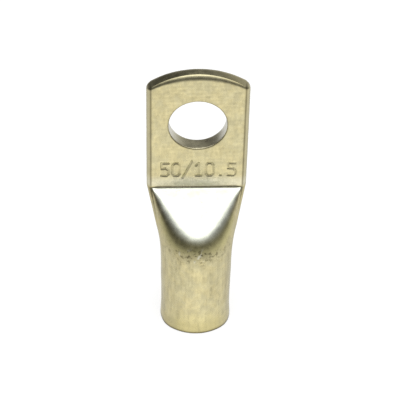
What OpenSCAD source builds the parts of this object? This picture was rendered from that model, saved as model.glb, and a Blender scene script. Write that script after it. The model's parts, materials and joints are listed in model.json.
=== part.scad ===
// Tubular cable lug, drawn standing on the mouth of its barrel.
// One length of tube: its upper end is pressed flat into a palm, flush with the back of the barrel,
// and a ramp on the front leads from the round tube to the flat palm.
// Millimetres. +Z runs up the barrel, the ramp faces -Y, and the origin is the centre of the mouth.

/* [Barrel] */
// Outside diameter of the tube
barrel_d = 12.8; // [11.5:0.1:14]
// Thickness of the tube's wall
wall = 1.4; // [1.2:0.05:1.7]
// Depth of the round bore
bore_depth = 15; // [9:0.5:15]
// How far the mouth is belled, on the radius
mouth_bell = 0.1; // [0.02:0.01:0.15]
// Length of that bell
bell_h = 2.5; // [1:0.5:4]
// Chamfer on the two edges of the mouth
mouth_chamfer = 0.2; // [0.1:0.05:0.5]

/* [Pressed ramp] */
// Height at which the tube starts to spread sideways
spread_start_h = 6; // [4:0.5:8]
// Widening of the tube by the foot of the press, on each side
spread = 0.33; // [0.1:0.01:0.6]
// Height at which the sides start to flare out to the palm
flare_h = 17.6; // [16.5:0.1:18]
// Length of the rounded start of that flare, each way from its corner
flare_length = 2.4; // [1:0.1:3]
// Height of the foot of the ramp at the front, where ramp and barrel would meet unrounded
ramp_foot_h = 21.6; // [20.5:0.1:22.5]
// Length of the rounded fold along the edge of the ramp, each way from its corner
fold_length = 2.5; // [1:0.1:3]
// How the fold curves out to the corners of the crease: 2 makes a parabola, more makes it fuller
fold_power = 2.2; // [1.8:0.1:3]
// Height of the crease between ramp and palm
crease_h = 27; // [26:0.1:30]
// Length of the rounded crease, each way from its corner
crease_length = 0.6; // [0.1:0.05:0.8]

/* [Palm] */
// Width of the palm at the crease
palm_w = 18.3; // [17:0.1:19]
// How much wider the palm is at its free end
palm_widening = 0.36; // [0:0.02:1.2]
// How far the side edges of the palm bulge
side_bulge = 0.8; // [0.5:0.02:1.1]
// Overall height of the lug
lug_h = 52.16; // [50.5:0.02:55]
// Radius of the crowned end
crown_r = 15.2; // [13:0.1:30]
// Radius of the crown's two corners
corner_r = 1.2; // [0.6:0.1:2]
// Rounding of the crowned end's front edge, which fades towards the corners
front_round = 1.1; // [0.4:0.05:1.15]
// Rounding of the crowned end's back edge
back_round = 0.7; // [0.1:0.05:1]

/* [Stud hole] */
// Diameter of the stud hole
hole_d = 10.5; // [8.4:0.1:12]
// Height of the centre of the stud hole
hole_h = 41.2; // [39:0.1:42]
// Chamfer on the two edges of the stud hole
hole_chamfer = 0.2; // [0.05:0.05:0.3]

/* [Hidden] */
$fn = 96;

// Steps of the pressed skin: around a flat and a side edge, up the flare, fold, crease and end rounding
flat_steps = 14;
edge_steps = 10;
flare_steps = 3;
fold_steps = 7;
crease_steps = 3;
round_steps = 5;

// A pressed skin starts this far inside the round tube, so that the two overlap cleanly
inset = 0.01;
lap = 0.4;
// Thickness left open where the two walls of the tube meet
slit = 0.16;

outer_r = barrel_d / 2;
bore_r = outer_r - wall;
palm_t = 2 * wall;
palm_back = outer_r;
palm_front = palm_back - palm_t;
palm_mid = palm_back - wall;
palm_end_w = palm_w + palm_widening;

// The side edge of the palm is an arc: its radius and half its angle
edge_r = (wall * wall + side_bulge * side_bulge) / (2 * side_bulge);
edge_angle = asin(wall / edge_r);
palm_flat = palm_w / 2 - side_bulge;
// Share of the half turn that becomes one flat, since the tube's skin keeps its length
edge_length = 2 * edge_r * edge_angle * PI / 180;
edge_turn = 180 * palm_flat / (2 * palm_flat + edge_length);

// Angle between ramp and barrel, the ramp's length, and how far its inside lies below the outside
ramp_angle = atan((outer_r + palm_front) / (crease_h - ramp_foot_h));
ramp_length = norm([outer_r + palm_front, crease_h - ramp_foot_h]);
fold_drop = wall * tan(ramp_angle / 2);
// How far up the ramp the fold may reach, as a share of the ramp
fold_end = 0.93;

// The tube's skin once around, as turns from the middle of the front: 0 front, 90 right side, 180 back
half_turns = [
    for (i = [0 : flat_steps - 1]) edge_turn * i / flat_steps,
    for (i = [0 : edge_steps]) edge_turn + (180 - 2 * edge_turn) * i / edge_steps,
    for (i = [1 : flat_steps]) 180 - edge_turn + edge_turn * i / flat_steps
];
half_count = len(half_turns) - 1;
turns = concat(half_turns, [for (i = [half_count - 1 : -1 : 1]) 360 - half_turns[i]]);

// Point of the palm's section that a turn of the tube becomes
function palm_point(turn) =
    turn > 180 ? let (p = palm_point(360 - turn)) [-p.x, p.y] :
    turn < edge_turn ? [palm_flat * turn / edge_turn, palm_front] :
    turn > 180 - edge_turn ? [palm_flat * (180 - turn) / edge_turn, palm_back] :
    let (a = edge_angle * (1 - 2 * (turn - edge_turn) / (180 - 2 * edge_turn)))
    [palm_w / 2 - edge_r + edge_r * cos(a), palm_mid - edge_r * sin(a)];

// Point of the narrow slit in which the bore ends
function slit_point(turn) =
    let (x = (palm_w / 2 - wall) * (1 - abs(abs(turn - 180) - 90) / 90))
    [turn > 180 ? -x : x, palm_mid - slit / 2 * cos(turn)];

function round_point(turn, r) = [r * sin(turn), -r * cos(turn)];
function spaced(p, z) = [p.x, p.y, z];

// The ramp is flat. Its edge, the fold, curves from the foot of the ramp to the corners of the crease.
// These are how far out a turn lies on the crease, and the share of the ramp that lies below the fold there.
function across(turn) = min(turn, 360 - turn) / edge_turn;
function below_fold(turn) = min(fold_end, pow(across(turn), fold_power));

// Corner of the fold on a line from the flare to the end of the ramp. Off the ramp it lies on that line.
function fold_corner(turn, flare, end, foot_y, foot_z) =
    let (share = below_fold(turn))
    across(turn) < 1
        ? [end.x, foot_y + (end.y - foot_y) * share, foot_z + (end.z - foot_z) * share]
        : flare + (end - flare) * fold_end;

// Length of the rounded fold along such a line. It is measured square to the fold, and fades up the ramp.
function fold_reach(turn, flare, fold, end, length) =
    let (
        slope = fold_power * ramp_length / palm_flat * pow(min(1, across(turn)), fold_power - 1),
        wanted = length * pow(1 - below_fold(turn), 0.4) * sqrt(1 + slope * slope)
    )
    min(wanted, 0.8 * norm(end - fold), 0.7 * norm(fold - flare));

// Length of the rounded start of the flare, which stays clear of the rounded fold
function flare_reach(flare, fold, reach) = min(flare_length, 0.9 * (norm(fold - flare) - reach));

// A true arc from a to b that would meet their tangents at corner
function arc_point(a, corner, b, t) =
    let (u = corner - a, v = b - corner, bent = acos(min(1, u * v / norm(u) / norm(v))))
    let (w = 2 * t * (1 - t) * cos(bent / 2), first = (1 - t) * (1 - t), last = t * t)
    (first * a + w * corner + last * b) / (first + w + last);

function toward(from, to, distance) = from + (to - from) * distance / norm(to - from);

// The rounded bend at a corner of a line
function bend(from, corner, to, length, steps) =
    let (low = toward(corner, from, length), high = toward(corner, to, length))
    [for (i = [0 : steps]) arc_point(low, corner, high, i / steps)];

// The crowned end at a distance from the middle: the crown, then its rounded corner.
// First its height, then how squarely it faces up, from 1 on the middle to 0 at the corner's outer end.
corner_x = palm_end_w / 2 - corner_r;
crown_z = lug_h - crown_r;
corner_z = crown_z + sqrt(pow(crown_r - corner_r, 2) - pow(corner_x, 2));
function arc_top(x, z, r) = let (rise = sqrt(max(0, r * r - x * x))) [z + rise, rise / r];
function crown_top(x) =
    abs(x) < corner_x * crown_r / (crown_r - corner_r)
        ? arc_top(x, crown_z, crown_r)
        : arc_top(abs(x) - corner_x, corner_z, corner_r);

// The free end of the palm at a turn, with its edge rounded over
function end_line(turn) =
    let (
        p = palm_point(turn),
        x = p.x * palm_end_w / palm_w,
        top = crown_top(x),
        front_share = (palm_back - p.y) / palm_t,
        r = top[1] * (back_round * (1 - front_share) + front_round * pow(top[1], 3) * front_share),
        in_y = palm_mid + (p.y - palm_mid) * (1 - r / wall)
    )
    [for (i = [0 : round_steps])
        let (a = 90 * i / round_steps)
        [x, in_y + (p.y - in_y) * cos(a), top[0] - r * (1 - sin(a))]];

function outer_line(turn) =
    let (
        start = spaced(round_point(turn, outer_r - inset), spread_start_h),
        side = round_point(turn, outer_r),
        flare = spaced([side.x * (1 + spread / outer_r), side.y], flare_h),
        crease = spaced(palm_point(turn), crease_h),
        fold = fold_corner(turn, flare, crease, -outer_r, ramp_foot_h),
        reach = fold_reach(turn, flare, fold, crease, fold_length),
        end = end_line(turn),
        creased = bend(fold, crease, end[0], min(crease_length, 0.15 * norm(crease - fold)), crease_steps)
    )
    concat(
        [start - [0, 0, lap], start],
        bend(start, flare, fold, flare_reach(flare, fold, reach), flare_steps),
        bend(flare, fold, crease, reach, fold_steps),
        creased,
        end
    );

function inner_line(turn) =
    let (
        start = spaced(round_point(turn, bore_r - inset), bore_depth),
        flare = spaced(round_point(turn, bore_r), flare_h),
        end = spaced(slit_point(turn), crease_h - fold_drop),
        fold = fold_corner(turn, flare, end, -bore_r, ramp_foot_h - fold_drop),
        reach = fold_reach(turn, flare, fold, end, fold_length - fold_drop),
        start_reach = min(flare_reach(flare, fold, reach), 0.8 * (flare_h - bore_depth))
    )
    concat(
        [start - [0, 0, lap], start],
        bend(start, flare, fold, start_reach, flare_steps),
        bend(flare, fold, end, reach, fold_steps),
        [end]
    );

// A closed solid from lines that run up its skin. Its foot is flat, and its top is closed front to back.
module skin(lines) {
    around = len(lines);
    up = len(lines[0]);
    half = around / 2;
    side = half / 2;
    polyhedron(
        points = [for (line = lines) each line],
        faces = concat(
            [[for (i = [0 : around - 1]) i * up]],
            [for (i = [0 : around - 1], k = [0 : up - 2], upper = [0, 1])
                let (a = i * up + k, b = (i + 1) % around * up + k)
                upper == 0 ? [a, a + 1, b + 1] : [a, b + 1, b]],
            [for (i = [0 : side - 1], part = [0 : i < side - 1 ? 3 : 1])
                let (front = i, next = i + 1, back = half - i, last = half - i - 1)
                [for (j = [[front, back, last], [-front, -last, -back],
                           [front, last, next], [-front, -next, -last]][part])
                    (around + j) % around * up + up - 1]]
        ),
        convexity = 6
    );
}

// The tube's round length, with a slight bell and a chamfer at the mouth
module barrel() {
    mouth_r = outer_r + mouth_bell;
    rotate_extrude()
        polygon([
            [0, 0],
            [mouth_r - mouth_chamfer, 0],
            [mouth_r, mouth_chamfer],
            [outer_r, bell_h],
            [outer_r, spread_start_h],
            [0, spread_start_h]
        ]);
}

// The round bore, open at the mouth
module bore() {
    translate([0, 0, -1])
        cylinder(r = bore_r, h = bore_depth + 1);
    translate([0, 0, -1])
        cylinder(r1 = bore_r + mouth_chamfer + 1, r2 = bore_r - 1, h = mouth_chamfer + 2);
}

// The stud hole, through the palm from front to back
module stud_hole() {
    lead = hole_chamfer + 1;
    translate([0, palm_mid, hole_h])
        rotate([90, 0, 0]) {
            cylinder(d = hole_d, h = palm_t + 2, center = true);
            for (side = [0, 180])
                rotate([side, 0, 0])
                    translate([0, 0, wall - hole_chamfer])
                        cylinder(d1 = hole_d, d2 = hole_d + 2 * lead, h = lead);
        }
}

module cable_lug() {
    color("#cfc596")
        difference() {
            union() {
                barrel();
                skin([for (turn = turns) outer_line(turn)]);
            }
            bore();
            skin([for (turn = turns) inner_line(turn)]);
            stud_hole();
        }
}

cable_lug();
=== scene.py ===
import json
import math

import bpy
import numpy as np
from mathutils import Matrix, Vector


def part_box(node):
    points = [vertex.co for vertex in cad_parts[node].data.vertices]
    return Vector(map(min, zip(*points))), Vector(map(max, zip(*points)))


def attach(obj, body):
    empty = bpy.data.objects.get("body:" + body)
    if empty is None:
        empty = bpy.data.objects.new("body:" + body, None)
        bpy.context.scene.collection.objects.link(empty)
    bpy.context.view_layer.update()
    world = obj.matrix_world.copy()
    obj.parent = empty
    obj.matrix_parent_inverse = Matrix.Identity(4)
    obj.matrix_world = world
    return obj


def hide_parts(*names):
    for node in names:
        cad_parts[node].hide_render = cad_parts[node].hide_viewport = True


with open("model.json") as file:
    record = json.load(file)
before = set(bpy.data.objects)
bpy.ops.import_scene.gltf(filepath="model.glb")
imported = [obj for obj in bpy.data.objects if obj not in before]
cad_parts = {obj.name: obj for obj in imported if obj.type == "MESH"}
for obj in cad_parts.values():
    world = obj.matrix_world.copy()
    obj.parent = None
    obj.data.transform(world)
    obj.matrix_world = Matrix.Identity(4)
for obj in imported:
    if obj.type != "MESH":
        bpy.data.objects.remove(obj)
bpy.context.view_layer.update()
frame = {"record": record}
mounts = {m["name"]: m for m in frame["record"]["mounts"]}
lowest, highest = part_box("cable_lug")
mm = 0.001
print("frame read:", ", ".join(mounts))


def mix(a, b, t):
    return a + (b - a) * t


def smooth(x, low, high):
    t = np.clip((x - low) / (high - low), 0, 1)
    return t * t * (3 - 2 * t)


def near(x, centre, reach):
    # 1 at the centre, fading away past the reach
    return np.exp(-((x - centre) / reach) ** 2)


def unit(v):
    return v / np.maximum(np.linalg.norm(v, axis=-1, keepdims=True), 1e-12)


def raised(plan, z):
    # a row of points: their places in plan, at the height z
    return np.column_stack([plan, np.broadcast_to(z, len(plan))])


def arcRows(before, corner, after, length, steps):
    # rounds the corner of every column's line by a true arc, length each way
    u, v = unit(corner - before), unit(after - corner)
    low, high = corner - u * length, corner + v * length
    half = np.cos(np.arccos(np.clip((u * v).sum(-1, keepdims=True), -1, 1)) / 2)
    rows = []
    for t in np.linspace(0, 1, steps + 1):
        a, b, c = (1 - t) ** 2, 2 * t * (1 - t) * half, t ** 2
        rows.append((a * low + b * corner + c * high) / (a + b + c))
    return rows


def straightRows(low, high, steps):
    # the rows between two others, which are left out
    return [mix(low, high, t) for t in np.linspace(0, 1, steps + 1)[1:-1]]


def evenRows(lines, steps):
    # each column's line, given by its corners, cut into even steps
    corners = np.array(lines)
    lengths = np.linalg.norm(np.diff(corners, axis=0), axis=2)
    along = np.concatenate([np.zeros((1, corners.shape[1])), np.cumsum(lengths, axis=0)])
    out = np.empty((steps + 1, corners.shape[1], 3))
    for column in range(corners.shape[1]):
        places = np.linspace(0, along[-1, column], steps + 1)
        for axis in range(3):
            out[:, column, axis] = np.interp(places, along[:, column], corners[:, column, axis])
    return out


def soften(rows, share, passes, pull):
    # spreads a sharp fold evenly over the skin around it; share is how much each point may move
    rows = rows.copy()
    for _ in range(passes):
        inner = rows[1:-1]
        left, right = np.roll(rows, 1, axis=1)[1:-1], np.roll(rows, -1, axis=1)[1:-1]
        total, weights = 0, 0
        for beside in (rows[2:], rows[:-2], left, right):
            weight = 1 / np.maximum(np.linalg.norm(beside - inner, axis=2, keepdims=True), 1e-6)
            total, weights = total + beside * weight, weights + weight
        rows[1:-1] = inner + pull * share[1:-1, :, None] * (total / weights - inner)
    return rows


# the lug, in metres; what the frame knows comes from the frame
lug = {
    "tubeRadius": 6.4 * mm,
    "boreRadius": mounts["barrel_bore"]["dims"]["r_mm"] * mm,
    "boreDepth": 15 * mm,
    "mouthRadius": -lowest.y,
    "mouthEdge": 0.2 * mm,
    "bellHeight": 3 * mm,
    "outOfRound": 0.034,  # how much fuller the mouth is, as a share of its radius
    "fullestTurn": 0.95,  # where it is fullest, either side of its front
    "fullestReach": 0.4,
    "spreadStart": 6 * mm,
    "spreadBend": 2.6 * mm,
    "spread": 0.33 * mm,
    "flare": 17.6 * mm,
    "flareBend": 2.4 * mm,
    "innerFlareBend": 1.6 * mm,
    "rampFoot": 21.6 * mm,
    "foldBend": 2.5 * mm,
    "foldPower": 2.2,  # how the fold climbs the ramp towards the sides
    "foldTop": 0.985,  # how far up the ramp it gets
    "foldTighten": 0.4,  # how its bend tightens on the way up
    "foldFade": 0.965,  # from this part of the face outwards it fades into the side
    "foldOnSide": 0.93,  # how far up the side it ends
    "crease": 27 * mm,
    "creaseBend": 0.5 * mm,
    "slitGap": 0.08 * mm,
    "palmWidth": 18.3 * mm,
    "palmEndWidth": highest.x - lowest.x,
    "sideBulge": 0.8 * mm,
    "sideBreak": 0.1 * mm,
    "height": highest.z,
    "crownRadius": 15.2 * mm,
    "cornerRadius": 1.2 * mm,
    "frontRound": 1.1 * mm,
    "frontArcs": (math.radians(42), 1.35, 0.36),  # where its two arcs meet, and their shares of the radius
    "backRound": 0.7 * mm,
    "backArcs": (math.radians(65), 0.7, 2.8),
    "holeRadius": mounts["stud_hole"]["dims"]["r_mm"] * mm,
    "holeLip": 0.2 * mm,
    "holeHeight": mounts["stud_hole"]["pos_m"][2],
}
# what follows from them: the palm is the tube pressed flat, its sides bulging in a shallow arc
lug["wall"] = lug["tubeRadius"] - lug["boreRadius"]
lug["back"] = lug["tubeRadius"]
lug["front"] = lug["back"] - 2 * lug["wall"]
lug["middle"] = lug["back"] - lug["wall"]
lug["flatHalf"] = lug["palmWidth"] / 2 - lug["sideBulge"]
lug["sideRadius"] = (lug["wall"] ** 2 + lug["sideBulge"] ** 2) / (2 * lug["sideBulge"])
lug["sideReach"] = math.asin(lug["wall"] / lug["sideRadius"])
lug["rampDepth"] = lug["front"] + lug["tubeRadius"]
lug["rampLength"] = math.hypot(lug["rampDepth"], lug["crease"] - lug["rampFoot"])
lug["rampSlope"] = math.atan2(lug["rampDepth"], lug["crease"] - lug["rampFoot"])
# turns are round the barrel, from its front: where the palm's corner goes, and just past its flat face
lug["halfRound"] = 2 * lug["flatHalf"] + 2 * lug["sideRadius"] * lug["sideReach"]
lug["cornerTurn"] = math.pi * lug["flatHalf"] / lug["halfRound"]
lug["faceTurn"] = lug["cornerTurn"] * (lug["flatHalf"] - lug["sideBreak"]) / lug["flatHalf"] * 1.01

# how finely the skin is cut
cuts = {
    "flat": 64,
    "side": 8,
    "break": 3,
    "breakTurn": 0.015,  # share of the corner's turn that its break takes up, each way
    "slit": 2,
    "innerFold": 5,
    "hollow": 4,
    "innerFlare": 3,
    "bore": 6,
    "innerEdge": 4,
    "mouthRing": (0.35, 0.7),
    "mouthEdge": 5,
    "bell": 7,
    "spread": 6,
    "flare": 5,
    "fold": 12,
    "pressed": 92,
    "creaseBend": 6,
    "palm": 84,
    "endRound": 14,
    "frontRings": 76,
    "frontCloser": 1.6,  # how much closer the front rings are over the numbers
    "numbersStart": (0.16, 0.22),  # parts of the way from the palm's border to the hole
    "numbersEnd": (0.64, 0.7),
    "backRings": 12,
    "holeLip": 4,
    "holeWall": 8,
}
# how the pressed part is softened after cutting
softer = {
    "passes": 160,
    "pull": 0.7,
    "sides": (0.86, 1.0),  # less and less over these parts of the face's turn
    "crease": 1.2 * mm,  # and this near the crease
    "flareShare": 0.35,  # the sides of the flare may still move this much
    "flareFade": (0.5 * mm, 3 * mm),  # until these heights above it
    "barrel": (9 * mm, 15 * mm),  # the round barrel below stays as it is
}


def sidePoint(a):
    # a point on the bulging side of the palm's section
    g = lug
    x = g["palmWidth"] / 2 - g["sideRadius"] + g["sideRadius"] * math.cos(a)
    return x, g["middle"] - g["sideRadius"] * math.sin(a)


def tubeSection():
    # one half turn of the tube: where each column lies on the palm's section, and its turn on the barrel
    g = lug
    flat, turnThere = g["flatHalf"], g["cornerTurn"]
    sideStart = g["sideReach"] - g["sideBreak"] / g["sideRadius"]
    start, corner = np.array([flat - g["sideBreak"], g["front"]]), np.array([flat, g["front"]])
    end = np.array(sidePoint(sideStart))
    quarter = [(x, g["front"], turnThere * x / flat) for x in np.linspace(0, start[0], cuts["flat"] + 1)]
    for t in np.linspace(0, 1, cuts["break"] + 2)[1:-1]:
        x, y = (1 - t) ** 2 * start + 2 * t * (1 - t) * corner + t ** 2 * end
        quarter.append((x, y, turnThere * (1 + (t - 0.5) * 2 * cuts["breakTurn"])))
    for a in np.linspace(sideStart, 0, cuts["side"] + 1):
        turn = mix(turnThere * (1 + cuts["breakTurn"]), math.pi / 2, 1 - a / sideStart)
        quarter.append((*sidePoint(a), turn))
    mirrored = [(x, 2 * g["middle"] - y, math.pi - turn) for x, y, turn in quarter[-2::-1]]
    return np.array(quarter + mirrored)


def crownTop(x):
    # the height of the crown above x, and how level it is there
    g = lug
    crownZ = g["height"] - g["crownRadius"]
    cornerX = g["palmEndWidth"] / 2 - g["cornerRadius"]
    cornerZ = crownZ + math.sqrt((g["crownRadius"] - g["cornerRadius"]) ** 2 - cornerX ** 2)
    x = np.abs(x)
    onCrown = x < cornerX * g["crownRadius"] / (g["crownRadius"] - g["cornerRadius"])
    radius = np.where(onCrown, g["crownRadius"], g["cornerRadius"])
    off = np.where(onCrown, x, x - cornerX)
    rise = np.sqrt(np.maximum(radius ** 2 - off ** 2, 0))
    return np.where(onCrown, crownZ, cornerZ) + rise, rise / radius


def foldCorner(turn, flare, end, footY, footZ):
    # the ramp is flat up to its curved fold; past the crease's corners the fold fades into the side
    g = lug
    across = np.abs(turn) / g["faceTurn"]
    share = np.minimum(across ** g["foldPower"], g["foldTop"])[:, None]
    foot = np.column_stack([end[:, 0], np.full(len(end), footY), np.full(len(end), footZ)])
    onRamp = foot + (end - foot) * share
    onSide = flare + (end - flare) * g["foldOnSide"]
    fold = mix(onRamp, onSide, smooth(across, g["foldFade"], 1.0)[:, None])
    steep = g["foldPower"] * g["rampLength"] / g["flatHalf"]
    slope = steep * np.minimum(across, 1)[:, None] ** (g["foldPower"] - 1)
    wanted = (1 - share) ** g["foldTighten"] * np.sqrt(1 + slope ** 2)
    # a bend takes up no more than this of the lines on either side of it
    room = np.minimum(0.8 * np.linalg.norm(end - fold, axis=1), 0.7 * np.linalg.norm(fold - flare, axis=1))
    return fold, wanted, room[:, None]


def insideRows(circle, px, turn):
    # from the pressed slit down the hollow wedge and the bore, to the inner edge of the mouth
    g = lug
    edge, drop = g["mouthEdge"], g["wall"] * math.tan(g["rampSlope"] / 2)
    across = (g["palmWidth"] / 2 - g["wall"]) * (1 - np.abs(np.abs(turn) - math.pi / 2) / (math.pi / 2))
    gap = g["middle"] - g["slitGap"] * np.cos(turn)
    slit = raised(np.column_stack([np.where(px < 0, -across, across), gap]), g["crease"] - drop)
    bore = circle * g["boreRadius"]
    flare, top, lip = raised(bore, g["flare"]), raised(bore, g["boreDepth"]), raised(bore, edge)
    fold, wanted, room = foldCorner(turn, flare, slit, -g["boreRadius"], g["rampFoot"] - drop)
    bend = arcRows(flare, fold, slit, np.minimum(wanted * (g["foldBend"] - drop), room), cuts["innerFold"])
    start = arcRows(top, flare, fold, g["innerFlareBend"], cuts["innerFlare"])
    rows = [slit] + straightRows(slit, bend[-1], cuts["slit"]) + bend[::-1]
    rows += straightRows(bend[0], start[-1], cuts["hollow"]) + start[::-1]
    rows += [top] + straightRows(top, lip, cuts["bore"])
    for a in np.linspace(0, math.pi / 2, cuts["innerEdge"] + 1):
        rows.append(raised(circle * (g["boreRadius"] + edge * (1 - math.cos(a))), edge * (1 - math.sin(a))))
    return rows


def mouthRows(circle, full):
    # the level ring that the lug stands on, its rounded outer edge, and the bell above it
    g = lug
    edge = g["mouthEdge"]
    rows = [raised(circle * mix(g["boreRadius"] + edge, full - edge, t), 0) for t in cuts["mouthRing"]]
    for a in np.linspace(0, math.pi / 2, cuts["mouthEdge"] + 1):
        rows.append(raised(circle * (full - edge * (1 - math.sin(a))), edge * (1 - math.cos(a))))
    for z in np.linspace(edge, g["bellHeight"], cuts["bell"] + 1)[1:-1]:
        belled = (full - g["tubeRadius"]) * (1 - smooth(z, 0, g["bellHeight"]))
        rows.append(raised(circle * (g["tubeRadius"] + belled), z))
    return rows


def pressedRows(circle, turn, crease):
    # the barrel and its pressed front, up to where the crease starts to bend
    g = lug
    tube = circle * g["tubeRadius"]
    foot, start = raised(tube, g["bellHeight"]), raised(tube, g["spreadStart"])
    flare = raised(tube * np.array([1 + g["spread"] / g["tubeRadius"], 1]), g["flare"])
    fold, wanted, room = foldCorner(turn, flare, crease, -g["tubeRadius"], g["rampFoot"])
    # each bend leaves room for the next
    creaseReach = np.minimum(g["creaseBend"], 0.15 * np.linalg.norm(crease - fold, axis=1))[:, None]
    rampEnd = crease - unit(crease - fold) * creaseReach
    foldReach = np.minimum(wanted * g["foldBend"], room)
    flareRoom = 0.9 * (np.linalg.norm(fold - flare, axis=1)[:, None] - foldReach)
    lines = [foot] + arcRows(foot, start, flare, g["spreadBend"], cuts["spread"])
    lines += arcRows(start, flare, fold, np.minimum(g["flareBend"], flareRoom), cuts["flare"])
    lines += arcRows(flare, fold, rampEnd, foldReach, cuts["fold"]) + [rampEnd]
    rows = evenRows(lines, cuts["pressed"])
    z = rows[:, :, 2]
    share = 1 - smooth(np.abs(turn) / g["faceTurn"], *softer["sides"])
    share = share * np.clip((rampEnd[:, 2] - z) / softer["crease"], 0, 1)
    fade = smooth(z, *(g["flare"] + height for height in softer["flareFade"]))
    share = np.maximum(share, softer["flareShare"] * (1 - fade)) * smooth(z, *softer["barrel"])
    rows = soften(rows, share, softer["passes"], softer["pull"])
    return list(rows[:-1]), fold, creaseReach


def crownRows(px, py):
    # the palm's end; its edge is two arcs: at the front gentle below and tight above, at the back the other
    # way round
    g = lug
    wide = px * g["palmEndWidth"] / g["palmWidth"]
    top, level = crownTop(wide)
    share = (g["back"] - py) / (2 * g["wall"])
    radius = level * (g["backRound"] * (1 - share) + g["frontRound"] * level ** 3 * share)
    split, lower, upper = (mix(a, b, share) for a, b in zip(g["backArcs"], g["frontArcs"]))
    lower, upper = radius * lower, radius * upper
    high = lower * np.sin(split) + upper * (1 - np.sin(split))
    rows = []
    for a in np.linspace(0, math.pi / 2, cuts["endRound"] + 1):
        first, second = np.minimum(a, split), np.maximum(a, split)
        up = lower * np.sin(first) + upper * (np.sin(second) - np.sin(split))
        into = lower * (1 - np.cos(first)) + upper * (np.cos(split) - np.cos(second))
        rows.append(np.column_stack([wide, mix(py, g["middle"], into / g["wall"]), top - high + up]))
    return rows


def skinRows(section):
    # every row of the skin, from the slit inside down, round the mouth and up to the crown; with how many
    # of them are inside, and the first and last row of the flat palm
    g = lug
    px, py, turn = section.T
    circle = np.stack([np.sin(turn), -np.cos(turn)], 1)
    full = g["mouthRadius"] * (1 + g["outOfRound"] * near(np.abs(turn), g["fullestTurn"], g["fullestReach"]))
    crease = raised(np.column_stack([px, py]), g["crease"])
    inside = insideRows(circle, px, turn)
    pressed, fold, creaseReach = pressedRows(circle, turn, crease)
    end = crownRows(px, py)
    bend = arcRows(fold, crease, end[0], creaseReach, cuts["creaseBend"])
    palm = straightRows(bend[-1], end[0], cuts["palm"])
    below = inside + mouthRows(circle, full[:, None]) + pressed + bend
    return np.array(below + palm + end), len(inside), len(below) - 1, len(below) + len(palm)


def holeRings(border, planeY, outward, rings, closer):
    # rings from the border of a palm face to the stud hole's lip, and round the lip
    g = lug
    centre = np.array([0, 0, g["holeHeight"]])
    angle = np.arctan2(border[:, 2] - centre[2], border[:, 0])
    ray = np.column_stack([np.cos(angle), np.zeros(len(angle)), np.sin(angle)])
    lipStart = centre + ray * (g["holeRadius"] + g["holeLip"])
    lipStart[:, 1] = planeY
    steps = np.linspace(0, 1, 401)
    onNumbers = smooth(steps, *cuts["numbersStart"]) * (1 - smooth(steps, *cuts["numbersEnd"]))
    dense = np.cumsum(1 + closer * onNumbers)
    places = np.interp(np.linspace(dense[0], dense[-1], rings + 1)[1:], dense, steps)
    layers = [mix(border, lipStart, t) for t in places]
    for a in np.linspace(0, math.pi / 2, cuts["holeLip"] + 1)[1:]:
        p = centre + ray * (g["holeRadius"] + g["holeLip"] * (1 - math.sin(a)))
        p[:, 1] = planeY - outward * g["holeLip"] * (1 - math.cos(a))
        layers.append(p)
    return layers


def buildLug():
    # the closed skin: its points, its faces, and whether each point is outside
    half = tubeSection()
    rows, mouthRow, low, high = skinRows(np.vstack([half, half[-2:0:-1] * np.array([-1, 1, -1])]))
    rowCount, around = rows.shape[:2]
    flat, opposite = cuts["flat"], len(half) - 1
    points = [rows.reshape(-1, 3)]
    outside = [np.repeat(np.arange(rowCount) >= mouthRow, around)]
    faces = []
    total = rowCount * around

    def at(row, column):
        return row * around + column % around

    def join(first, second):
        count = len(first)
        for a in range(count):
            b = (a + 1) % count
            faces.append((first[a], first[b], second[b], second[a]))

    def addLoop(layer):
        nonlocal total
        points.append(layer)
        outside.append(np.full(len(layer), True))
        total += len(layer)
        return np.arange(total - len(layer), total)

    for row in range(rowCount - 1):
        for column in range(around):
            onFront = column < flat or column >= around - flat
            onBack = opposite - flat <= column < opposite + flat
            if not (low <= row < high and (onFront or onBack)):
                corners = (0, 0), (0, 1), (1, 1), (1, 0)
                faces.append(tuple(at(row + up, column + right) for up, right in corners))

    # close the slit inside and the end face outside, front to back
    quarter = opposite // 2
    for row, flip in ((0, True), (rowCount - 1, False)):
        for i in range(quarter):
            for side in (1, -1):
                columns = [i, i + 1, opposite - i - 1, opposite - i]
                if i == quarter - 1:
                    del columns[2]  # the last one is a triangle
                face = [at(row, side * column) for column in columns]
                faces.append(tuple(face[::-1] if (side < 0) != flip else face))

    # the palm's two faces run in rings to the stud hole
    def border(first, last):
        bottom = [at(low, c) for c in range(first, last + 1)]
        right = [at(r, last) for r in range(low + 1, high + 1)]
        upper = [at(high, c) for c in range(last - 1, first - 1, -1)]
        left = [at(r, first) for r in range(high - 1, low, -1)]
        return np.array(bottom + right + upper + left)

    lips = []
    for loop, planeY, outward, rings, closer in (
            (border(-flat, flat), lug["front"], -1, cuts["frontRings"], cuts["frontCloser"]),
            (border(opposite - flat, opposite + flat), lug["back"], 1, cuts["backRings"], 0)):
        for layer in holeRings(points[0][loop], planeY, outward, rings, closer):
            inner = addLoop(layer)
            join(loop, inner)
            loop = inner
        lips.append((loop, layer))

    # the wall of the hole, from the front lip to the back lip; the back loop runs the other way round
    (loop, frontPoints), (backLoop, backPoints) = lips
    match = (2 * flat - np.arange(len(loop))) % len(loop)
    for layer in straightRows(frontPoints, backPoints[match], cuts["holeWall"]):
        inner = addLoop(layer)
        join(loop, inner)
        loop = inner
    join(loop, backLoop[match])

    # points that no face uses are left out
    used = np.unique(np.concatenate([np.array(f) for f in faces]))
    place = np.full(total, -1)
    place[used] = np.arange(len(used))
    return np.vstack(points)[used], [tuple(place[list(f)]) for f in faces], np.concatenate(outside)[used]


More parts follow.
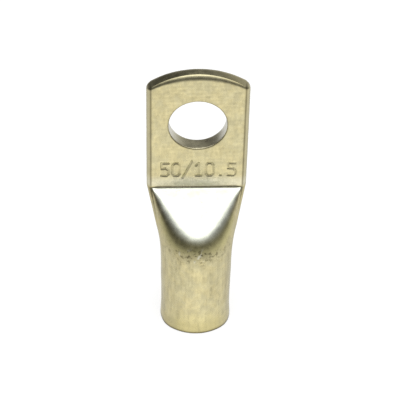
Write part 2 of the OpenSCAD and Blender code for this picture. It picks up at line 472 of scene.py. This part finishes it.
# the stamped plain numbers: strokes on a grid one wide and two high
strokes = {
    "5": [(1, 2, 0, 2), (0, 2, 0, 1.15), (0, 1.15, 0.6, 1.2), (0.6, 1.2, 1, 0.85), (1, 0.85, 1, 0.3),
          (1, 0.3, 0.7, 0), (0.7, 0, 0, 0.05)],
    "0": [(0.25, 0, 0, 0.35), (0, 0.35, 0, 1.65), (0, 1.65, 0.25, 2), (0.25, 2, 0.75, 2), (0.75, 2, 1, 1.65),
          (1, 1.65, 1, 0.35), (1, 0.35, 0.75, 0), (0.75, 0, 0.25, 0)],
    "/": [(-0.1, -0.35, 1.1, 2.3)],
    "1": [(0.15, 1.6, 0.55, 2), (0.55, 2, 0.55, 0), (0.2, 0, 0.9, 0)],
    ".": [(0.45, 0.05, 0.55, 0.05)],
}
stamp = {
    "numbers": "50/10.5",
    "centre": (0.25 * mm, 31.15 * mm),
    "height": 2.9 * mm,
    "glyph": 1.35 * mm,
    "pitch": 2.02 * mm,
    "stroke": 0.2 * mm,
    "slope": (0.35, 1.25),  # where the stroke's sides start and end, as shares of it
    "depth": 0.1 * mm,
}


def stampDepth(x, z):
    # depth of the stamp at points of the palm's face
    g = stamp
    deep = np.zeros(len(x))
    first = g["centre"][0] - g["pitch"] * (len(g["numbers"]) - 1) / 2 - g["glyph"] / 2
    low = g["centre"][1] - g["height"] / 2
    slopeStart, slopeEnd = (g["stroke"] * share for share in g["slope"])
    for i, sign in enumerate(g["numbers"]):
        for x1, z1, x2, z2 in strokes[sign]:
            a = np.array([first + i * g["pitch"] + x1 * g["glyph"], low + z1 * g["height"] / 2])
            b = np.array([first + i * g["pitch"] + x2 * g["glyph"], low + z2 * g["height"] / 2])
            ab = b - a
            t = np.clip(((x - a[0]) * ab[0] + (z - a[1]) * ab[1]) / (ab @ ab), 0, 1)
            away = np.hypot(x - a[0] - t * ab[0], z - a[1] - t * ab[1])
            deep = np.maximum(deep, 1 - smooth(away, slopeStart, slopeEnd))
    return deep * g["depth"]


def waves(p, size, seed):
    # smooth seeded unevenness between 0 and 1: fourteen waves of about this size, each its own way
    rng = np.random.default_rng(seed)
    total = np.zeros(len(p))
    for _ in range(14):
        way = rng.normal(size=3)
        way /= np.linalg.norm(way) * size * rng.uniform(0.7, 1.6)
        total += np.sin(p @ way * 2 * math.pi + rng.uniform(0, 6.28))
    return 0.5 + 0.5 * np.clip(total / 5, -1, 1)


def normals(points, faces):
    quads = np.array([f if len(f) == 4 else (*f, f[2]) for f in faces])
    cross = np.cross(points[quads[:, 2]] - points[quads[:, 0]], points[quads[:, 3]] - points[quads[:, 1]])
    total = np.zeros_like(points)
    for k in range(4):
        np.add.at(total, quads[:, k], cross)
    return unit(total)


# what the press and handling left on the skin, and where shade, reflection and glints are painted on it
worn = {
    "broadDents": (0.02 * mm, 3.2 * mm, 3),  # depth, size and seed
    "smallDents": (0.012 * mm, 1.1 * mm, 5),
    "groove": (0.03 * mm, 0.17 * mm, 0.7),  # depth, width and darkness, along both sides of the palm; the darkness is painted shade in the groove, with dirt
    "creaseShade": (0.55, 0.14 * mm),  # painted shade along the crease: its strength and width
    "rimShade": (0.6, 0.12 * mm),
    "offLine": 0.03 * mm,  # the groove and the crease's painted shade line lie this far past their edges
    "mouthShade": (0.3 * mm, 0.7 * mm),  # painted shade along the mouth's lower edge, where it meets the floor: it fades between these heights
    "leftCrownDarkening": (0.35, 0.3, 1.6 * mm, 7),  # darker towards the crown's left: strength, unevenness, its size and seed
    "crownDarkSpread": (0.12, 1.9 * mm, 8),
    "scuffAndGlint": (0.3 * mm, 18.4 * mm, 4.6 * mm, 1.5 * mm),  # a patch of real scuffs with painted glints: across and up, and its reach each way
    # painted shade just below the fold: across and up, and its reach each way
    "paintedFoldShade": (0.2 * mm, 18.6 * mm, 4.2 * mm, 1.35 * mm),
    "footHeights": (1 * mm, 6.5 * mm),
    "reflectionHeights": (1.2 * mm, 3.2 * mm),  # painted reflection of the bright ramp on the palm fades out between these heights above the crease
    "drawnHeights": (17 * mm, 24 * mm),  # the streaks of the round barrel fade out between these
}


def spot(x, z, place):
    across, up, wide, tall = place
    return np.exp(-((x - across) / wide) ** 2 - ((z - up) / tall) ** 2)


def wear(points, faces, outside):
    # presses the stamp and faint dents into the skin, and marks where the colour differs: wear, dirt, and
    # painted shade and reflection
    g = lug
    x, y, z = points.T
    facing = normals(points, faces)
    upward, ahead = facing[:, 2], y < g["middle"]
    crease, aside, touching = g["crease"], np.abs(x), 0.02 * mm
    upPalm = np.clip((z - crease) / (g["height"] - crease), 0, 1)
    half = g["flatHalf"] * mix(1, g["palmEndWidth"] / g["palmWidth"], upPalm)
    onPalm = smooth(z, crease + 0.1 * mm, crease + 0.6 * mm)
    onFace = (np.abs(y - g["front"]) < touching) & (z > crease + 0.4 * mm)
    onRamp = (z < crease + 0.3 * mm) & outside
    hole = np.hypot(x, z - g["holeHeight"]) - g["holeRadius"]
    onHole = np.abs(hole) < touching

    deep = np.where(onFace, stampDepth(x, z), 0)
    dents = worn["broadDents"], worn["smallDents"]
    dent = sum(depth * waves(points, size, seed) for depth, size, seed in dents)
    depth, width, grooveDirtAndShade = worn["groove"]
    groove = near(aside - half, worn["offLine"], width) * onPalm * ahead
    moved = points - facing * (dent * outside + deep + depth * groove)[:, None]

    # painted shade: a dark line along the crease
    dirtAndShade, width = worn["creaseShade"]
    creaseShade = dirtAndShade * near(z - crease, worn["offLine"], width) * (aside < half + 0.1 * mm) * ahead
    # painted shade: a dark ring round the stud hole's front rim
    dirtAndShade, width = worn["rimShade"]
    rimShade = dirtAndShade * near(np.maximum(hole - width, 0), 0, width)
    rimShade = rimShade * (hole > -0.05 * mm) * (y < g["front"] + 0.1 * mm) * (z > crease)
    # painted shade along the lower outer edge of the mouth
    beyond = np.hypot(x, y) - g["mouthRadius"]
    mouthShade = (1 - smooth(z, *worn["mouthShade"])) * smooth(beyond, -0.3 * mm, -0.2 * mm)

    # the crown is darker, unevenly, and most of all on its left
    crown = smooth(z, g["height"] - 4.5 * mm, g["height"] - 3.5 * mm) * smooth(upward, 0.05, 0.3)
    strength, uneven, size, seed = worn["leftCrownDarkening"]
    leftCrownDarkening = strength * crown * smooth(-x, 1.5 * mm, 6 * mm)
    leftCrownDarkening = leftCrownDarkening * (1 - uneven + uneven * waves(points, size, seed))
    uneven, size, seed = worn["crownDarkSpread"]
    crownDarkShare = (1 - 0.6 * smooth(x, 2.5 * mm, 7 * mm)) * (1 - uneven + uneven * waves(points, size, seed))
    # painted reflection: the palm just above the crease is paler where it mirrors the bright ramp
    paintedReflection = 1 - smooth(z, *(crease + height for height in worn["reflectionHeights"]))
    foot = (1 - smooth(z, *worn["footHeights"])) * (1 - smooth(aside, 3 * mm, 6 * mm))
    masks = {
        # dark lines: painted shade in the groove, along the crease, round the hole's rim and along the
        # mouth's lower edge, with some dirt in the groove, and the crown's darker left side
        "line": np.maximum.reduce([groove * grooveDirtAndShade, creaseShade, rimShade, mouthShade, leftCrownDarkening]),
        "olive": smooth(upward, 0.08, 0.24) * (z < crease) * (z > 7 * mm) * outside * (y < 0),
        "strip": smooth(aside - half, 0.05 * mm, 0.3 * mm) * onPalm,
        "stamp": np.clip(deep / stamp["depth"], 0, 1),
        "scuffAndGlint": spot(x, z, worn["scuffAndGlint"]) * (y < 0),
        "hole": onHole,
        # painted shade, warm in tone, on the hole's wall where it faces up
        "paintedHoleShade": onHole * smooth(upward, 0.3, 0.95),
        # the ramp paler and whiter: partly its own smoother tin, partly a painted highlight of the light
        # overhead
        "ramp": smooth(upward, 0.36, 0.66) * onRamp,
        "rampFlat": smooth(upward, 0.78, 0.87) * onRamp,
        "paintedReflection": paintedReflection * onPalm * ahead * (1 - 0.4 * smooth(aside, 2 * mm, 6 * mm)),
        "face": onPalm * (np.abs(facing[:, 1]) > 0.9),
        "paintedFoldShade": spot(x, z, worn["paintedFoldShade"]) * (y < 0),
        "crown": crown * crownDarkShare,
        "foot": foot * (y < 0) * outside,
        "round": 1 - smooth(z, *worn["drawnHeights"]),
    }
    return moved, masks


points, faces, outside = buildLug()
points, masks = wear(points, faces, outside)
print("lug skin:", len(points), "points,", len(faces), "faces")

mesh = bpy.data.meshes.new("lugSkin")
mesh.from_pydata(points.tolist(), [], faces)
mesh.validate()
for name, values in masks.items():
    mesh.attributes.new(name, "FLOAT", "POINT").data.foreach_set("value", values.astype(np.float32))
mesh.update()
lugPiece = bpy.data.objects.new("lugTube", mesh)
bpy.context.scene.collection.objects.link(lugPiece)
for polygon in mesh.polygons:
    polygon.use_smooth = True

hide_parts("cable_lug")
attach(lugPiece, "root")
print("lug in place")

look = {
    "azimuth": -2.98,
    "elevation": 39.1,
    "roll": 1.33,
    "distance": 450 * mm,
    "target": (0.58 * mm, 0, 26.81 * mm),
    "offset": (-0.091 * mm, 0.091 * mm),
    "lens": 222.642,  # lens and sensor in millimetres
    "sensor": 36,
    "nearest": 0.01,
    "farthest": 20,
}


def placeCamera():
    a, e, roll = (math.radians(look[k]) for k in ("azimuth", "elevation", "roll"))
    back = Vector((math.sin(a) * math.cos(e), -math.cos(a) * math.cos(e), math.sin(e)))
    right = (-back).cross(Vector((0, 0, 1))).normalized()
    up = right.cross(-back)
    x = right * math.cos(roll) + up * math.sin(roll)
    y = up * math.cos(roll) - right * math.sin(roll)
    place = Vector(look["target"]) + back * look["distance"] + x * look["offset"][0] + y * look["offset"][1]
    camera = bpy.data.objects.new("camera", bpy.data.cameras.new("camera"))
    camera.matrix_world = Matrix.Translation(place) @ Matrix((x, y, back)).transposed().to_4x4()
    camera.data.sensor_width = look["sensor"]
    camera.data.lens = look["lens"]
    camera.data.clip_start = look["nearest"]
    camera.data.clip_end = look["farthest"]
    bpy.context.scene.collection.objects.link(camera)
    bpy.context.scene.camera = camera


placeCamera()
bpy.context.scene.view_settings.view_transform = "Standard"
print("camera placed")


class Graph:
    # adds nodes and joins them; an input goes by its name, or by its number after _
    def __init__(self, owner):
        owner.use_nodes = True
        owner.node_tree.nodes.clear()
        self.nodes, self.links = owner.node_tree.nodes, owner.node_tree.links

    def add(self, kind, output=0, settings=None, **inputs):
        node = self.nodes.new("ShaderNode" + kind)
        for name, value in (settings or {}).items():
            setattr(node, name, value)
        for name, value in inputs.items():
            socket = node.inputs[int(name[1:]) if name[0] == "_" else name]
            if isinstance(value, bpy.types.NodeSocket):
                self.links.new(value, socket)
            else:
                socket.default_value = value
        return node.outputs[output]

    def finish(self, kind, surface):
        self.links.new(surface, self.nodes.new("ShaderNodeOutput" + kind).inputs["Surface"])

    def math(self, operation, a, b=0.0, c=0.0):
        return self.add("Math", settings={"operation": operation}, _0=a, _1=b, _2=c)

    def ease(self, value, low, high, toLow=0.0, toHigh=1.0):
        return self.add("MapRange", settings={"interpolation_type": "SMOOTHSTEP"}, Value=value,
                        **{"From Min": low, "From Max": high, "To Min": toLow, "To Max": toHigh})

    def blend(self, amount, a, b, kind="MIX"):
        settings = {"data_type": "RGBA", "blend_type": kind}
        return self.add("Mix", output=2, settings=settings, _0=amount, _6=a, _7=b)

    def shade(self, colour, level):
        # darkens the colour, or lightens it where the level is above 1
        return self.blend(1.0, colour, self.add("CombineColor", _0=level, _1=level, _2=level), "MULTIPLY")


ground = {
    "half": 1.2,  # metres
    "glow": 0.75,
    "matte": (0.35, 0.35, 0.35, 1),
}


def floorMaterial():
    # glows evenly; its matte part takes the lug's soft shadow
    material = bpy.data.materials.new("paleFloor")
    g = Graph(material)
    glow = g.add("Emission", Color=(1, 1, 1, 1), Strength=ground["glow"])
    matte = g.add("BsdfDiffuse", Color=ground["matte"])
    g.finish("Material", g.add("AddShader", _0=glow, _1=matte))
    return material


half = ground["half"]
floorCorners = [(-half, -half, 0), (half, -half, 0), (half, half, 0), (-half, half, 0)]
floorMesh = bpy.data.meshes.new("floor")
floorMesh.from_pydata(floorCorners, [], [(0, 1, 2, 3)])
floorMesh.materials.append(floorMaterial())
floor = bpy.data.objects.new("floor", floorMesh)
bpy.context.scene.collection.objects.link(floor)
floor.visible_glossy = False  # the lug mirrors the studio's own even floor, which no shadow darkens
print("floor laid")

# brightness of the studio by direction: how far up (-1 straight down, 1 straight up) and how bright
light = {
    "front": ((-1, 1.2), (-0.65, 1.17), (-0.5, 0.74), (-0.4, 0.58), (-0.3, 0.48), (-0.2, 0.36),
              (-0.1, 0.26), (0, 0.17), (0.1, 0.14), (0.2, 0.17), (0.3, 0.23), (0.4, 0.30), (0.5, 0.46),
              (0.6, 0.8), (0.7, 1.2), (0.85, 2), (1, 2.6)),
    "left": ((-1, 1.1), (-0.65, 0.88), (-0.5, 0.74), (-0.4, 0.62), (-0.3, 0.46), (-0.2, 0.22), (-0.1, 0.12),
             (0, 0.08), (0.1, 0.08), (0.2, 0.11), (0.3, 0.15), (0.4, 0.21), (0.5, 0.28), (0.6, 0.5),
             (0.7, 0.85), (0.85, 1.6), (1, 2.5)),
    "right": ((-1, 1.1), (-0.65, 0.92), (-0.5, 0.88), (-0.4, 0.82), (-0.3, 0.68), (-0.2, 0.44),
              (-0.1, 0.28), (0, 0.22), (0.1, 0.22), (0.2, 0.24), (0.3, 0.24), (0.4, 0.26), (0.5, 0.35),
              (0.6, 0.7), (0.7, 1.1), (0.85, 1.7), (1, 2.5)),
    "backLeft": ((-1, 0.8), (-0.65, 0.70), (-0.45, 0.75), (-0.3, 0.68), (-0.2, 0.56), (-0.1, 0.44),
                 (0, 0.32), (0.1, 0.24), (0.2, 0.18), (0.3, 0.14), (0.4, 0.10), (0.5, 0.08), (0.6, 0.09),
                 (0.7, 0.22), (0.8, 0.6), (0.9, 1.3), (1, 2.4)),
    "backRight": ((-1, 0.8), (-0.65, 0.70), (-0.45, 0.78), (-0.3, 0.75), (-0.15, 0.66), (0, 0.58),
                  (0.1, 0.52), (0.2, 0.46), (0.3, 0.38), (0.4, 0.30), (0.5, 0.22), (0.6, 0.19), (0.7, 0.30),
                  (0.8, 0.6), (0.9, 1.1), (1, 2.4)),
    "brightest": 2.6,
    "backdrop": 1.1,  # what the camera itself sees
    "leftToFront": (-0.95, -0.35),  # one wall passes into the next between these, from -1, left, to 1, right
    "frontToRight": (0.35, 0.95),
    "leftToRightBehind": (-0.5, 0.5),
    "frontToBack": (0.0, 0.6),  # and from 0, beside the lug, to 1, straight behind it
}


def studioWorld():
    # a soft box overhead, darker walls, and a pale floor that fades towards the walls
    world = bpy.data.worlds.new("studio")
    bpy.context.scene.world = world
    g = Graph(world)
    split = g.nodes.new("ShaderNodeSeparateXYZ")
    g.links.new(g.add("TexCoord"), split.inputs[0])
    x, y, z = split.outputs
    height = g.math("MULTIPLY_ADD", z, 0.5, 0.5)

    def wall(name):
        ramp = g.nodes.new("ShaderNodeValToRGB")
        stops = ramp.color_ramp.elements
        for i, (up, value) in enumerate(light[name]):
            stop = stops[i] if i < 2 else stops.new(1)
            stop.position = up * 0.5 + 0.5
            stop.color = (*[value / light["brightest"]] * 3, 1)
        g.links.new(height, ramp.inputs[0])
        return ramp.outputs[0]

    level = g.math("SQRT", g.math("ADD", g.math("MULTIPLY", x, x), g.math("MULTIPLY", y, y)))
    level = g.math("MAXIMUM", level, 0.05)  # straight up and down have no side
    side, away = g.math("DIVIDE", x, level), g.math("DIVIDE", y, level)
    ahead = g.blend(g.ease(side, *light["leftToFront"]), wall("left"), wall("front"))
    ahead = g.blend(g.ease(side, *light["frontToRight"]), ahead, wall("right"))
    behind = g.blend(g.ease(side, *light["leftToRightBehind"]), wall("backLeft"), wall("backRight"))
    room = g.blend(g.ease(away, *light["frontToBack"]), ahead, behind)
    dome = g.add("Background", Color=room, Strength=light["brightest"])
    plain = g.add("Background", Color=(1, 1, 1, 1), Strength=light["backdrop"])
    g.finish("World", g.add("MixShader", _0=g.add("LightPath"), _1=dome, _2=plain))


studioWorld()
print("studio lit")

finish = {
    "warm": (0.665, 0.585, 0.325, 1),
    "pale": (0.67, 0.605, 0.36, 1),
    "foot": (0.72, 0.63, 0.30, 1),
    "strip": (0.64, 0.58, 0.36, 1),
    # the ramp's near-white: partly its own tin, partly a painted highlight
    "ramp": (0.90, 0.93, 0.80, 1),
    "olive": (0.60, 0.55, 0.27, 1),
    # painted reflection of the ramp on the low palm, also the colour of the painted glints
    "paintedReflection": (0.94, 0.91, 0.73, 1),
    "hole": (0.88, 0.86, 0.76, 1),
    # painted shade, warm in tone, in the stud hole
    "paintedHoleShade": (0.70, 0.65, 0.45, 1),
    "crown": (0.52, 0.48, 0.30, 1),
    "pit": (0.30, 0.27, 0.15, 1),
    # painted shade just below the fold
    "paintedFoldShade": (0.36, 0.33, 0.18, 1),
    # the dark colour of dirt, and of painted shade in lines, the crease and the stamped numbers
    "dirtAndShade": (0.11, 0.09, 0.04, 1),
    "marked": {"foot": 0.75, "strip": 0.8, "paintedFoldShade": 0.4, "olive": 0.8, "ramp": 1, "hole": 1, "paintedHoleShade": 1,
               "crown": 1, "paintedReflection": 0.75},  # in this order, and how strongly
    "blotch": (700, 3, 0.6, 1),  # patterns: scale, detail, roughness, and below 1 it is drawn out lengthwise
    "cloud": (180, 2, 0.5, 1),
    "speck": (1500, 3, 0.6, 1),
    "mottle": (850, 2, 0.5, 0.55),
    "grain": (2200, 2, 0.5, 0.3),
    "streak": (1500, 2, 0.5, 0.1),
    "warmToPale": (0.38, 0.62),  # between these values of a pattern; two more are what they become
    "grainShade": (0.3, 0.7, 0.94, 1.04),
    "mottleShade": (0.36, 0.64, 0.94, 1.06),
    "drawnShade": (0.35, 0.62, -0.01, 0.06),
    "faceLighter": 0.07,
    "pitted": (0.58, 0.72),
    "pits": 0.18,
    "tornStreak": (0.30, 0.41, 1, 0),
    "tornSpeck": (0.44, 0.56, 0, 0.32),
    "glint": (0.64, 0.69, 0, 0.65),
    "scuffed": (0.50, 0.62),
    "scuffs": 0.9,
    "stampDirtAndShade": 0.22,
    "roughness": (0.3, 0.7, 0.19, 0.32),
    "holeRougher": 0.04,
    "rampRougher": 0.25,
    "relief": 0.06 * mm,
    "reliefStrength": 0.35,
}


def copperMaterial():
    # plated copper: mottled, drawn lengthwise, pitted, different where the press and wear marked it, and
    # with painted shade, reflection and glints
    material = bpy.data.materials.new("tinnedCopper")
    g = Graph(material)
    place = g.add("TexCoord", output=3)

    def pattern(name):
        scale, detail, roughness, along = finish[name]
        where = place if along == 1 else g.add("Mapping", Vector=place, Scale=(1, 1, along))
        return g.add("TexNoise", Vector=where, Scale=scale, Detail=detail, Roughness=roughness)

    def part(of, name):
        return g.ease(of, *finish[name])

    def mask(name, strength=1):
        value = g.add("Attribute", output=2, settings={"attribute_name": name})
        return value if strength == 1 else g.math("MULTIPLY", value, strength)

    def both(first, second):
        # mostly the first pattern, with some of the second
        return g.math("ADD", g.math("MULTIPLY", first, 0.6), g.math("MULTIPLY", second, 0.4))

    blotch, cloud, speck = pattern("blotch"), pattern("cloud"), pattern("speck")
    mottle, grain, streak = pattern("mottle"), pattern("grain"), pattern("streak")

    colour = g.blend(part(both(blotch, cloud), "warmToPale"), finish["warm"], finish["pale"])
    colour = g.shade(colour, g.math("MULTIPLY", part(grain, "grainShade"), part(mottle, "mottleShade")))
    for name, strength in finish["marked"].items():
        colour = g.blend(mask(name, strength), colour, finish[name])

    # a slightly lighter palm, and lengthwise streaks on the barrel, with torn dark ones among them
    drawn = g.math("MULTIPLY", part(streak, "drawnShade"), mask("round"))
    lift = g.math("ADD", g.math("MULTIPLY_ADD", mask("face"), finish["faceLighter"], 1.0), drawn)
    colour = g.shade(colour, lift)
    colour = g.blend(g.math("MULTIPLY", part(speck, "pitted"), finish["pits"]), colour, finish["pit"])
    torn = g.math("MULTIPLY", part(streak, "tornStreak"), part(speck, "tornSpeck"))
    colour = g.blend(g.math("MULTIPLY", torn, mask("round")), colour, finish["pit"])

    # painted glints and real dark scuffs where the barrel starts to flare, and dark lines and numbers:
    # painted shade with some dirt
    glint = g.math("MULTIPLY", part(mottle, "glint"), mask("scuffAndGlint"))
    colour = g.blend(glint, colour, finish["paintedReflection"])
    scuffs = g.math("MULTIPLY", part(speck, "scuffed"), mask("scuffAndGlint"))
    dirtAndShadeAmount = g.math("MAXIMUM", g.math("MULTIPLY", scuffs, finish["scuffs"]), mask("line"))
    # the stamped strokes darkened: painted shade in them, with dirt
    dirtAndShadeAmount = g.math("MAXIMUM", dirtAndShadeAmount, mask("stamp", finish["stampDirtAndShade"]))
    colour = g.blend(dirtAndShadeAmount, colour, finish["dirtAndShade"])

    rough = g.math("ADD", part(blotch, "roughness"), mask("hole", finish["holeRougher"]))
    rough = g.math("ADD", rough, mask("rampFlat", finish["rampRougher"]))
    relief = both(blotch, grain)
    bump = g.add("Bump", Strength=finish["reliefStrength"], Distance=finish["relief"], Height=relief)
    surface = {"Base Color": colour, "Metallic": 1.0, "Roughness": rough, "Normal": bump}
    g.finish("Material", g.add("BsdfPrincipled", **surface))
    return material


mesh.materials.append(copperMaterial())
